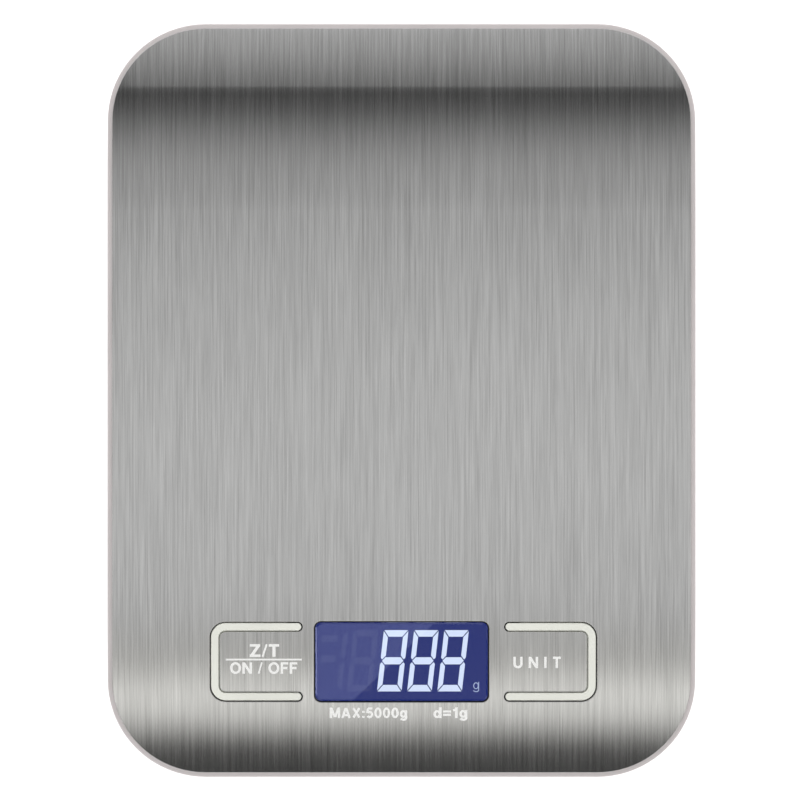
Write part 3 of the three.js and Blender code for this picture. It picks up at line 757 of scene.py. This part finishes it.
def bay_outline(grow=0.0):
    width, depth = (2 * (half + grow) for half in BAY["half"])
    return round_rect(width, depth, 0.5, (0, BAY["y"]))


def build_base():
    skin = Skin()
    outer, inner = flank(0, BASE_Z), flank(WALL, BASE_Z + WALL)
    floor_z = BASE_Z + WALL
    inner = [(outline, height) for outline, height in inner if height(0, 0) < PARTING_Z - 0.3]
    skin.strip(
        *reversed(outer),
        (case_outline(0.25), level(PARTING_Z)),
        (case_outline(WALL - 0.2), level(PARTING_Z)),
        *inner,
    )
    under, floor = [], []  # openings in the underside, and what stands on the floor inside
    for sx, sy in CORNERS.values():  # a foot's well, the hole for its stem and its cell's seat
        at = (sx * FOOT_AT[0], sy * FOOT_AT[1])
        well, stem, seat = circle(WELL["radius"], at), circle(WELL["stem"], at), cell_seat(at, 0)
        under.append(circle(WELL["radius"] + 0.3, at))
        floor.append(cell_seat(at, 1.2))
        skin.strip(
            (under[-1], level(BASE_Z)),
            (well, level(BASE_Z + 0.3)),
            (well, level(WELL["roof"])),
            (stem, level(WELL["roof"])),
            (stem, level(WELL["seat"])),
            (seat, level(WELL["seat"])),
            (seat, level(WELL["rim"])),
            (floor[-1], level(WELL["rim"])),
            (floor[-1], level(floor_z)),
        )
    for at in CASE_SCREWS:  # a counterbore for the head, and a boss
        head, bore = circle(BOSS["head"], at, 32), circle(BOSS["bore"], at, 32)
        under.append(circle(BOSS["head"] + 0.2, at, 32))
        floor.append(circle(BOSS["radius"], at, 32))
        skin.strip(
            (under[-1], level(BASE_Z)),
            (head, level(BASE_Z + 0.2)),
            (head, level(BOSS["ledge"])),
            (bore, level(BOSS["ledge"])),
            (bore, level(BOSS["top"])),
            (floor[-1], level(BOSS["top"])),
            (floor[-1], level(floor_z)),
        )
    width, depth = (2 * (half + CLEARANCE) for half in DOOR_HALF)
    recess = round_rect(width, depth, 0.8, (0, BAY["y"]))
    notch_x = DOOR_HALF[0] + 3.2
    notch = round_rect(5, 12, 2.4, (notch_x, BAY["y"]))  # for a fingertip
    under += [recess, notch]
    skin.strip(
        (recess, level(BASE_Z)),
        (recess, level(3.9)),
        (bay_outline(), level(3.9)),
        (bay_outline(), level(BAY["roof"])),
    )
    skin.fill(bay_outline(), level(BAY["roof"]))
    shallow = [(x - 0.35 * (x > notch_x + 0.8), y) for x, y in notch]
    skin.strip((notch, level(BASE_Z)), (shallow, level(BASE_Z + 0.9)))
    skin.fill(shallow, level(BASE_Z + 0.9))
    floor.append(bay_outline(BAY["wall"]))
    skin.strip((floor[-1], level(floor_z)), (floor[-1], level(BAY["roof"] + 1)))
    skin.fill(floor[-1], level(BAY["roof"] + 1))
    skin.fill(outer[0][0], level(BASE_Z), under)
    skin.fill(inner[0][0], level(floor_z), floor)
    skin.finish("base_case", CASE, "case", ["base_shell"], "case_plastic")


build_upper_frame()
build_base()

# ------------------------------ printed legends


def bow(x, y, across, up, start, end, steps=10):
    """Points on part of an ellipse, with angles in quarter turns."""
    points = []
    for i in range(steps + 1):
        angle = (start + (end - start) * i / steps) * math.pi / 2
        points.append((x + across * math.cos(angle), y + up * math.sin(angle)))
    return points


# Letters as the strokes of a pen, in units of a capital's height, each with its width.
PEN = 0.2
STEM = [(0.09, 0), (0.09, 1)]
THIN = {"/": 0.62}  # letters drawn with a thinner pen
LETTERS = {
    "Z": (0.68, [[(0, 0.91), (0.66, 0.91)], [(0.55, 0.88), (0.13, 0.12)], [(0, 0.09), (0.68, 0.09)]]),
    "/": (0.40, [[(0.07, 0.0), (0.33, 1.0)]]),
    "T": (0.66, [[(0, 0.91), (0.66, 0.91)], [(0.33, 0.9), (0.33, 0)]]),
    "O": (0.86, [bow(0.43, 0.5, 0.34, 0.42, 0, 4, 28)]),
    "N": (0.76, [STEM, [(0.67, 0), (0.67, 1)], [(0.13, 0.93), (0.63, 0.07)]]),
    "F": (0.60, [STEM, [(0.1, 0.91), (0.6, 0.91)], [(0.1, 0.5), (0.54, 0.5)]]),
    "U": (0.74, [[(0.09, 1), *bow(0.37, 0.36, 0.28, 0.28, 2, 4), (0.65, 1)]]),
    "I": (0.18, [STEM]),
    "M": (
        0.88,
        [STEM, [(0.79, 0), (0.79, 1)], [(0.13, 0.95), (0.43, 0.09)], [(0.75, 0.95), (0.45, 0.09)]],
    ),
    "A": (0.80, [[(0.09, 0), (0.38, 0.96)], [(0.71, 0), (0.42, 0.96)], [(0.2, 0.28), (0.6, 0.28)]]),
    "X": (0.76, [[(0.12, 0.05), (0.64, 0.95)], [(0.64, 0.05), (0.12, 0.95)]]),
    ":": (0.20, [[(0.1, 0.02), (0.1, 0.2)], [(0.1, 0.5), (0.1, 0.68)]]),
    "5": (
        0.62,
        [
            [(0.56, 0.91), (0.18, 0.91)],
            [(0.19, 0.94), (0.13, 0.46)],
            bow(0.32, 0.335, 0.22, 0.245, 1.5, -1.6),
        ],
    ),
    "0": (0.62, [bow(0.31, 0.5, 0.22, 0.41, 0, 4, 28)]),
    "1": (0.42, [[(0.3, 0), (0.3, 1)], [(0.33, 0.86), (0.04, 0.7)]]),
    "g": (
        0.62,
        [bow(0.29, 0.39, 0.2, 0.27, 0, 4, 24), [(0.52, 0.75), *bow(0.3, -0.01, 0.22, 0.14, 0, -1.9)]],
    ),
    "d": (0.62, [bow(0.29, 0.37, 0.2, 0.28, 0, 4, 24), [(0.53, 0), (0.53, 1)]]),
    "=": (0.62, [[(0, 0.3), (0.62, 0.3)], [(0, 0.62), (0.62, 0.62)]]),
    " ": (0.22, []),
}


def pen_line(points, width):
    """The two sides of a line that a flat pen draws, as pairs of points, mitred where it turns."""
    loop = math.dist(points[0], points[-1]) < 1e-6
    normals = []
    for (x0, y0), (x1, y1) in zip(points, points[1:]):
        normals.append(Vector((y0 - y1, x1 - x0)).normalized())
    pairs = []
    for i, point in enumerate(points):
        before = normals[i - 1] if i or loop else normals[0]
        after = normals[i % len(normals)] if i < len(normals) or loop else normals[-1]
        offset = (before + after) * (width / 2 / (1 + before.dot(after)))
        pairs.append((Vector(point) + offset, Vector(point) - offset))
    return pairs


def lettering(text, x, y, spacing=0.12, pen=PEN):
    """The pen lines of a row of letters, which together fill the spans x and y exactly."""
    lines, at = [], 0
    for letter in text:
        width, strokes = LETTERS[letter]
        for stroke in strokes:
            lines.append(pen_line([(at + px, py) for px, py in stroke], pen * THIN.get(letter, 1)))
        at += width + spacing
    spots = [spot for line in lines for pair in line for spot in pair]
    low = [min(spot[k] for spot in spots) for k in (0, 1)]
    high = [max(spot[k] for spot in spots) for k in (0, 1)]
    scale = [(span[1] - span[0]) / (high[k] - low[k]) for k, span in enumerate((x, y))]

    def place(spot):
        return (x[0] + scale[0] * (spot[0] - low[0]), y[0] + scale[1] * (spot[1] - low[1]))

    return [[(place(left), place(right)) for left, right in line] for line in lines]


INK_STEP = 0.003


def ink(skin, lines, height, foot):
    """A thin layer of ink for each pen line. Lines that cross lie one above the other."""
    for number, line in enumerate(lines):
        rise = INK_STEP * (number % 4)
        rows = []
        for left, right in line:
            corners = [(left, rise + height(*left)), (right, rise + height(*right))]
            corners += [(right, foot(*right)), (left, foot(*left))]
            rows.append([skin.bm.verts.new((*spot, z)) for spot, z in corners])
        for near, far in zip(rows, rows[1:]):
            for i in range(4):
                skin.bm.faces.new((near[i], near[i - 1], far[i - 1], far[i]))
        if math.dist(line[0][0], line[-1][0]) > 1e-6:
            skin.bm.faces.new(rows[0])
            skin.bm.faces.new(rows[-1])


def legend(name, lines, key=None):
    """Print on the platform, or on a key."""
    skin = Skin()
    ink(skin, lines, below(-0.012), below(0.01))
    piece = skin.finish(name, INK, None if key else "case", (), "key_plastic", sharp=20)
    PALE_PIECES.append(piece)
    if key:
        bend_with_key(piece)


def rule(x, y, parts=12):
    """A straight printed line, in parts along its length."""
    cuts = [x[0] + (x[1] - x[0]) * i / parts for i in range(parts + 1)]
    return [[((at, y[1]), (at, y[0])) for at in cuts]]


legend("legend_zero_tare", lettering("Z/T", (-36.1, -29.1), (-61.05, -57.95), 0.06), "power")
legend("legend_divider", rule((-41.8, -23.7), (-61.85, -61.45)), "power")
legend("legend_on_off", lettering("ON / OFF", (-40.8, -24.8), (-65.1, -62.25)), "power")
legend("legend_unit", lettering("UNIT", (26.6, 37.9), (-63.75, -60.95), 0.52), "unit")
legend("legend_capacity", lettering("MAX:5000g", (-17.1, 1.35), (-76.3, -73.1)))
legend("legend_division", lettering("d=1g", (7.6, 15.7), (-76.3, -73.1)))

# ------------------------------ display


def flat(depth):
    """The height function of a level parallel to the platform at the middle of the window."""
    return lambda x, y: top_z(CONTROLS_Y) + math.tan(TILT) * (y - CONTROLS_Y) - depth


# The window is flat, and set low enough to stay under the platform's curve all over.
WINDOW_DROP = (WINDOW[1] / 2) ** 2 / (2 * END_RADIUS)


def build_window():
    skin = Skin()
    width, depth, radius = WINDOW
    face = round_rect(width - 0.7, depth - 0.5, radius, (0.05, CONTROLS_Y - 0.13), 0, 8, 8, 6)
    skin.fill(face, flat(WINDOW_DROP + 0.02))
    skin.strip(
        (face, flat(WINDOW_DROP + 0.02)),
        (window_outline(-0.02), flat(WINDOW_DROP + 0.2)),
        (window_outline(0), flat(WINDOW_DROP + 0.24)),
        (window_outline(0), flat(WINDOW_DROP + 0.9)),
        (window_outline(0, 1.5), flat(WINDOW_DROP + 0.9)),
        (window_outline(0, 1.5), flat(1.9)),
    )
    skin.fill(window_outline(0, 1.5), flat(1.9))
    lens = skin.finish(
        "display_lens", ACRYLIC, "case", ["display_window"], "window_acrylic", sharp=12
    )
    border = Skin()
    border.strip(
        (window_outline(0.03), below(0.84)),
        (window_outline(0, 1.45), below(0.84)),
        (window_outline(0, 1.45), below(0.89)),
        (window_outline(0.03), below(0.89)),
        (window_outline(0.03), below(0.84)),
    )
    border.finish("display_border", BLACK, "case", (), "black_plastic")
    return lens


def inset_polygon(points, distance):
    """A convex polygon, counter-clockwise, shrunk by the same distance on every side."""
    moved = []
    count = len(points)
    for i in range(count):
        a, b, c = (Vector(points[(i + k) % count]) for k in (-1, 0, 1))
        u, v = (b - a).normalized(), (c - b).normalized()
        n, m = Vector((-u.y, u.x)), Vector((-v.y, v.x))
        moved.append(tuple(b + (n + m) * (distance / (1 + n.dot(m)))))
    return moved


DIGIT = {"width": 6.1, "height": 14.95, "upright": 1.38, "bar": 1.8, "gap": 0.24, "pitch": 7.2}
DIGIT_POINT = 0.36  # how far the middle bar's points stay inside the digit
DIGIT_TIP = 0.48  # and the uprights' points
DIGIT_STEEP = 1.19  # slope of both
DIGIT_FIRST, DIGIT_FOOT = -6.0, -7.57  # the bottom left corner of the first lit digit
DIGIT_SLANT = math.tan(math.radians(6.5))
UNLIT_BARS = [((-19.3, -0.4), 3.5), ((-19.2, 4.4), 3.8)]  # bottom left corners and lengths
LCD_FACE = -3.28  # the display's face, measured from the platform at the controls


def segments():
    """The seven segments of a digit, each as a polygon, from its bottom left corner."""
    w, h, stem, bar = (DIGIT[key] for key in ("width", "height", "upright", "bar"))
    middle, half_bar = h / 2, bar / 2 + 0.07
    reach = DIGIT_POINT + half_bar / DIGIT_STEEP
    rise = DIGIT_STEEP * (DIGIT_TIP - DIGIT_POINT)
    inner, outer = DIGIT_STEEP * (stem - DIGIT_POINT), rise + DIGIT_STEEP * DIGIT_TIP
    left = [(0, h), (0, middle + outer), (DIGIT_TIP, middle + rise)]
    left += [(stem, middle + inner), (stem, h - bar)]
    lower = [(DIGIT_POINT, middle), (reach, middle - half_bar), (w - reach, middle - half_bar)]
    shapes = {
        "top": [(0, h), (stem, h - bar), (w - stem, h - bar), (w, h)],
        "upper_left": left,
        "upper_right": [(w - x, y) for x, y in reversed(left)],
        "middle": lower + [(w - x, h - y) for x, y in lower],
        "lower_left": [(x, h - y) for x, y in reversed(left)],
        "lower_right": [(w - x, h - y) for x, y in left],
        "bottom": [(0, 0), (w, 0), (w - stem, bar), (stem, bar)],
    }
    return {name: inset_polygon(points, DIGIT["gap"] / 2) for name, points in shapes.items()}


def lcd_marks(name, material, polygons, lift):
    """Thin raised shapes on the display's face."""
    skin = Skin()
    for points in polygons:
        skin.fill(points, level(LCD_FACE))
        skin.strip((points, level(LCD_FACE)), (points, level(LCD_FACE + lift)))
        skin.fill(points, level(LCD_FACE + lift))
    skin.place(TILTED)
    skin.finish(name, material, "case", (), "lcd_blue")


def digit(x, names=None):
    """A slanted digit's polygons, or only those of the named segments."""
    shapes = segments()
    return [
        [(x + px + DIGIT_SLANT * py, DIGIT_FOOT + py) for px, py in shapes[name]]
        for name in names or shapes
    ]


def build_lcd():
    places = [DIGIT_FIRST + i * DIGIT["pitch"] for i in range(-2, 3)]
    lit = [shape for x in places[2:] for shape in digit(x)]
    lcd_marks("lcd_digits", LCD_LIT, lit, 0.03)
    ghost = digit(places[1]) + digit(places[0], ["upper_right", "lower_right"])
    for (x, y), length in UNLIT_BARS:
        ghost.append([(x, y), (x + length, y), (x + length + 0.2, y + 1.6), (x + 0.2, y + 1.6)])
    lcd_marks("lcd_unlit_marks", LCD_GHOST, ghost, 0.02)
    unit = Skin()
    mark = lettering("g", (17.1, 18.5), (-7.6, -5.15), pen=0.075)
    ink(unit, mark, level(LCD_FACE + 0.03), level(LCD_FACE))
    unit.place(TILTED).finish("lcd_unit", LCD_FAINT, "case", (), "lcd_blue")


def finish_node(node, material):
    """Gives a CAD node that stays in view its finished material."""
    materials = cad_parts[node].data.materials
    materials.clear()
    materials.append(material)


WINDOW_LENS = build_window()
build_lcd()

CARRIED = {
    "lcd_gasket": FOAM,
    "lcd_glass": LCD_FIELD,
    "lcd_frame": BLACK,
    "backlight_guide": DIFFUSER,
    "backlight_led": WHITE,
    "zebra_connector": ZEBRA,
    "main_pcb": BOARD,
    "controller_chip": BLACK,
    "battery_lead_red": LEADS["red"],
    "battery_lead_black": LEADS["black"],
    "battery_door": CASE,
    "battery_1": SLEEVE,
    "battery_2": SLEEVE,
}
for key_name in SIDES:
    CARRIED[f"{key_name}_switch_body"] = BLACK
    CARRIED[f"{key_name}_switch_plunger"] = WHITE
for contact in ("positive", "negative", "bridge"):
    CARRIED[f"battery_contact_{contact}"] = PLATED
for number in range(1, 7):
    CARRIED[f"case_screw_{number}"] = PLATED
for number in range(1, 5):
    CARRIED[f"pcb_screw_{number}"] = PLATED
for corner_name in CORNERS:
    CARRIED[f"load_cell_{corner_name}"] = SPRING_STEEL
    CARRIED[f"load_cell_clip_{corner_name}"] = WHITE
    CARRIED[f"load_cell_lead_{corner_name}"] = LEADS["white"]
for node_name, node_material in CARRIED.items():
    finish_node(node_name, node_material)

# ------------------------------ feet


def build_foot(name, sx, sy):
    at = Matrix.Translation((sx * FOOT_AT[0], sy * FOOT_AT[1], 0))
    foot = Skin()
    disc = [(0, 1.5), (8.8, 1.5), (8.8, 1.1), (8.95, 0.9), (9.7, 0.9), (10, 1.2), (10, 3.0)]
    stem = [(9.7, 3.3), (3.4, 3.3), (3, 3.7), (3, 5.8), (2.7, 6.1), (0, 6.1)]
    foot.turned(disc + stem, steps=64)
    foot.place(at).finish(f"foot_shell_{name}", WHITE, "case", [f"foot_{name}"], "white_plastic")
    pad = Skin()
    grooves = []
    for radius in (2.4, 4.4, 6.4):
        grooves += [(radius - 0.35, 0), (radius - 0.2, 0.3), (radius + 0.2, 0.3), (radius + 0.35, 0)]
    pad.turned([(0, 0), *grooves, (8.2, 0), (8.5, 0.3), (8.5, 1.2), (0, 1.2)], steps=64)
    pad.place(at).finish(
        f"rubber_pad_{name}", PAD_RUBBER, "case", [f"foot_pad_{name}"], "foot_rubber"
    )


for corner_name, (corner_x, corner_y) in CORNERS.items():
    build_foot(corner_name, corner_x, corner_y)

# ------------------------------ studio


def build_floor():
    bm = bmesh.new()
    bmesh.ops.create_grid(bm, x_segments=1, y_segments=1, size=6)
    paint = Paint("floor_white", Roughness=0.9)
    wash = paint.noise((3, 3, 3), detail=1)
    white = paint.finish(
        {
            "Base Color": paint.mix(wash, (0.93, 0.93, 0.93, 1), (0.95, 0.95, 0.95, 1)),
            "Specular IOR Level": 0.0,
            "Emission Color": (1, 1, 1, 1),
            "Emission Strength": 0.5,
        }
    )
    add_object("studio_floor", bm, white)


# The studio's light, as (angle from straight up towards the rear in degrees, brightness).
SKY = [
    (-90, 0.7),  # low front card
    (-75, 0.9),
    (-60, 1.5),
    (-46, 1.5),
    (-38, 0.6),
    (-31, 0.0),  # dark gap
    (-23.5, 0.0),
    (-21.5, 0.12),  # strip light over the front
    (-19.5, 0.95),
    (-17.5, 1.2),
    (-15.5, 1.2),
    (-13.5, 0.8),
    (-11.5, 0.55),  # wide card overhead
    (-6.5, 0.65),
    (-2, 0.7),
    (0, 0.87),
    (1.5, 0.65),
    (3, 0.47),
    (6.5, 0.5),
    (9.5, 0.45),
    (12, 0.33),
    (14, 0.22),
    (16, 0.05),  # dark gap
    (18, 0.0),
    (22, 0.1),
    (24.5, 0.3),  # rear wall
    (30, 0.5),
    (42, 1.5),
    (60, 1.5),
    (75, 0.9),
    (90, 0.7),
]
SKY_REACH = 90
WARM = (-22, -10)  # the angles of the strip light, which is slightly warm
WARMTH = 0.045  # the share of blue that it lacks


def build_sky():
    """A sky whose brightness depends on the angle about the X axis: soft cards and dark gaps."""
    world = bpy.data.worlds.new("studio")
    bpy.context.scene.world = world
    nodes = Nodes(world)
    direction = nodes.node("TexCoord").outputs["Generated"]
    split = nodes.node("SeparateXYZ", {"Vector": direction})
    angle = nodes.math("ARCTAN2", split.outputs["Y"], split.outputs["Z"])
    reach = math.radians(SKY_REACH)
    ramp = nodes.node("ValToRGB", {"Fac": nodes.remap(angle, -reach, reach, 0, 1)})
    stops = ramp.color_ramp.elements
    while len(stops) < len(SKY):
        stops.new(0.5)
    for stop, (degrees, brightness) in zip(stops, SKY):
        stop.position = (degrees + SKY_REACH) / (2 * SKY_REACH)
        warmth = WARMTH if WARM[0] < degrees < WARM[1] else 0
        stop.color = (brightness, brightness * (1 - warmth / 5), brightness * (1 - warmth), 1)
    nodes.set(nodes.tree.nodes["Background"], {"Color": ramp.outputs["Color"]})


LENS, SENSOR = 200, 36
FIELD = 190.2  # width of the view at the platform's height
CAMERA_AT = Vector((0, 0, HEIGHT + FIELD * LENS / SENSOR))
SHIFT = (-0.0019, 0.0005)  # which centres the scale as the photo does


def build_camera():
    data = bpy.data.cameras.new("camera")
    data.lens = LENS
    data.sensor_width = SENSOR
    data.shift_x, data.shift_y = SHIFT
    camera = bpy.data.objects.new("camera", data)
    camera.location = CAMERA_AT * MM
    bpy.context.collection.objects.link(camera)
    bpy.context.scene.camera = camera


def mirrored(x, y, height):
    """Where the line of sight to a point on the window goes after its reflection."""
    point = Vector((x, y, flat(WINDOW_DROP)(x, y)))
    normal = Vector((0, -math.tan(TILT), 1)).normalized()
    ray = (point - CAMERA_AT).normalized().reflect(normal)
    return point + ray * ((height - point.z) / ray.z)


CARD_HEIGHT = 400
CARD_COLOUR = (0.6, 0.65, 0.95, 1)


def collection_of(name, objects):
    made = bpy.data.collections.new("lit_by_" + name)
    for item in objects:
        made.objects.link(item)
    return made


def build_card(name, corners, strength, receiver):
    """A glowing card that only the receiver reflects. Light passes through it."""
    bm = bmesh.new()
    bm.faces.new([bm.verts.new(Vector(corner) * MM) for corner in corners])
    material = bpy.data.materials.new(name)
    nodes = Nodes(material)
    nodes.tree.nodes.clear()
    glow = nodes.node("Emission", {"Color": CARD_COLOUR, "Strength": strength})
    both = nodes.node("AddShader")
    nodes.connect(both.inputs[0], glow.outputs[0])
    nodes.connect(both.inputs[1], nodes.node("BsdfTransparent").outputs[0])
    nodes.node("OutputMaterial", {"Surface": both.outputs[0]})
    card = add_object(name, bm, material)
    card.light_linking.receiver_collection = collection_of(name, [receiver])
    card.visible_camera = False


GLOSS_LINE = ((9.4, -51.5), (-13.1, -72.9))  # ends of the slanted edge of the gloss
GLINT_CARD = (180, 220, 5, (-450, -131))  # width, depth, corner radius and middle


def build_gloss(window):
    """The soft gloss on the left of the display's window, and a glint on its left bevel."""
    (x0, y0), (x1, y1) = GLOSS_LINE
    beyond = -WINDOW[0] / 2 - 3
    lit = [(beyond, y0), (x0, y0), (x1, y1), (beyond, y1)]
    corners = [mirrored(x, y, CARD_HEIGHT) for x, y in lit]
    build_card("gloss_card", corners, 1.0, window)
    corners = [(x, y, CARD_HEIGHT) for x, y in round_rect(*GLINT_CARD)]
    build_card("glint_card", corners, 4.5, window)


def build_fill_light(pieces):
    """A soft light for white plastic and print only, which sets them off from the steel."""
    data = bpy.data.lights.new("fill_light", "AREA")
    data.size = 1.0
    data.energy = 2.4
    light = bpy.data.objects.new("fill_light", data)
    light.location = (0, 0, 1.5)
    bpy.context.collection.objects.link(light)
    light.light_linking.receiver_collection = collection_of("fill_light", pieces)
    light.visible_camera = False


build_floor()
build_sky()
build_camera()
build_gloss(WINDOW_LENS)
build_fill_light(PALE_PIECES)
bpy.context.scene.view_settings.view_transform = "Standard"
